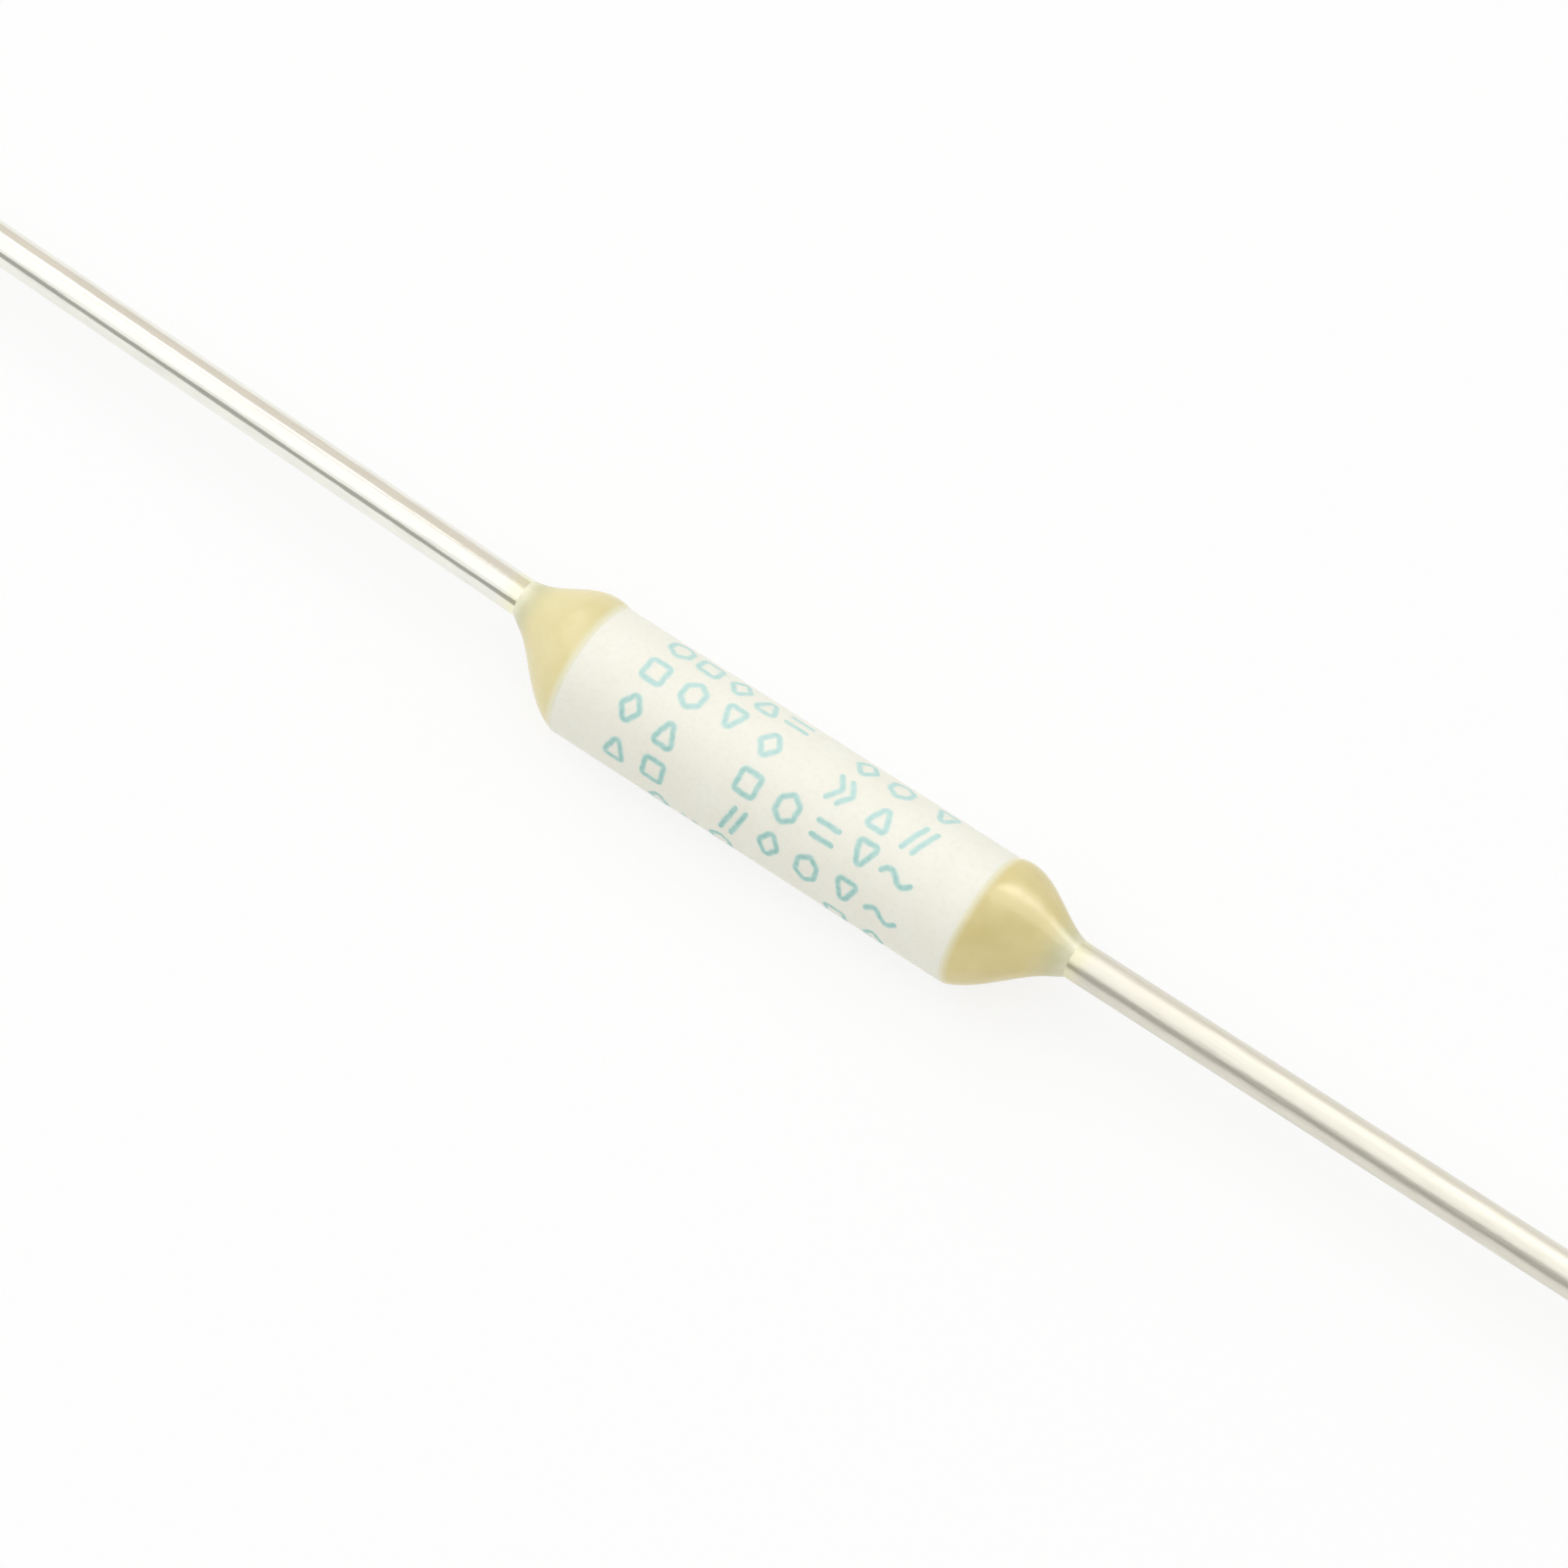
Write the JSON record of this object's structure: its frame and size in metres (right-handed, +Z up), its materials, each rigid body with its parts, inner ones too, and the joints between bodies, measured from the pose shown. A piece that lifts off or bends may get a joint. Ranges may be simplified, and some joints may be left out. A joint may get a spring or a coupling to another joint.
{
  "type": "thermal fuse",
  "caption": "Axial thermal fuse: a printed ceramic tube with a fusible alloy link inside, cast epoxy cone seals at its ends and straight tinned wire leads.",
  "frame": {"origin": "middle of the ceramic tube, on its axis, which is the centre of the fuse's box to within the left lead's slight slant", "axes": "+X along the tube towards the right lead, +Z up, and +Y the side towards which both leads sit off the tube's axis"},
  "size_m": [0.0817, 0.0038, 0.0036],
  "materials": {
    "ceramic": "satin",
    "epoxy": "satin",
    "tinned_copper": "satin",
    "fusible_alloy": "satin",
    "flux": "gloss",
    "marking_ink": "matte"
  },
  "bodies": {
    "root": {"ceramic_tube": "ceramic", "seal_left": "epoxy", "seal_right": "epoxy", "lead_left": "tinned_copper", "lead_right": "tinned_copper", "fusible_link": "fusible_alloy", "flux_coat": "flux"}
  },
  "joints": []
}
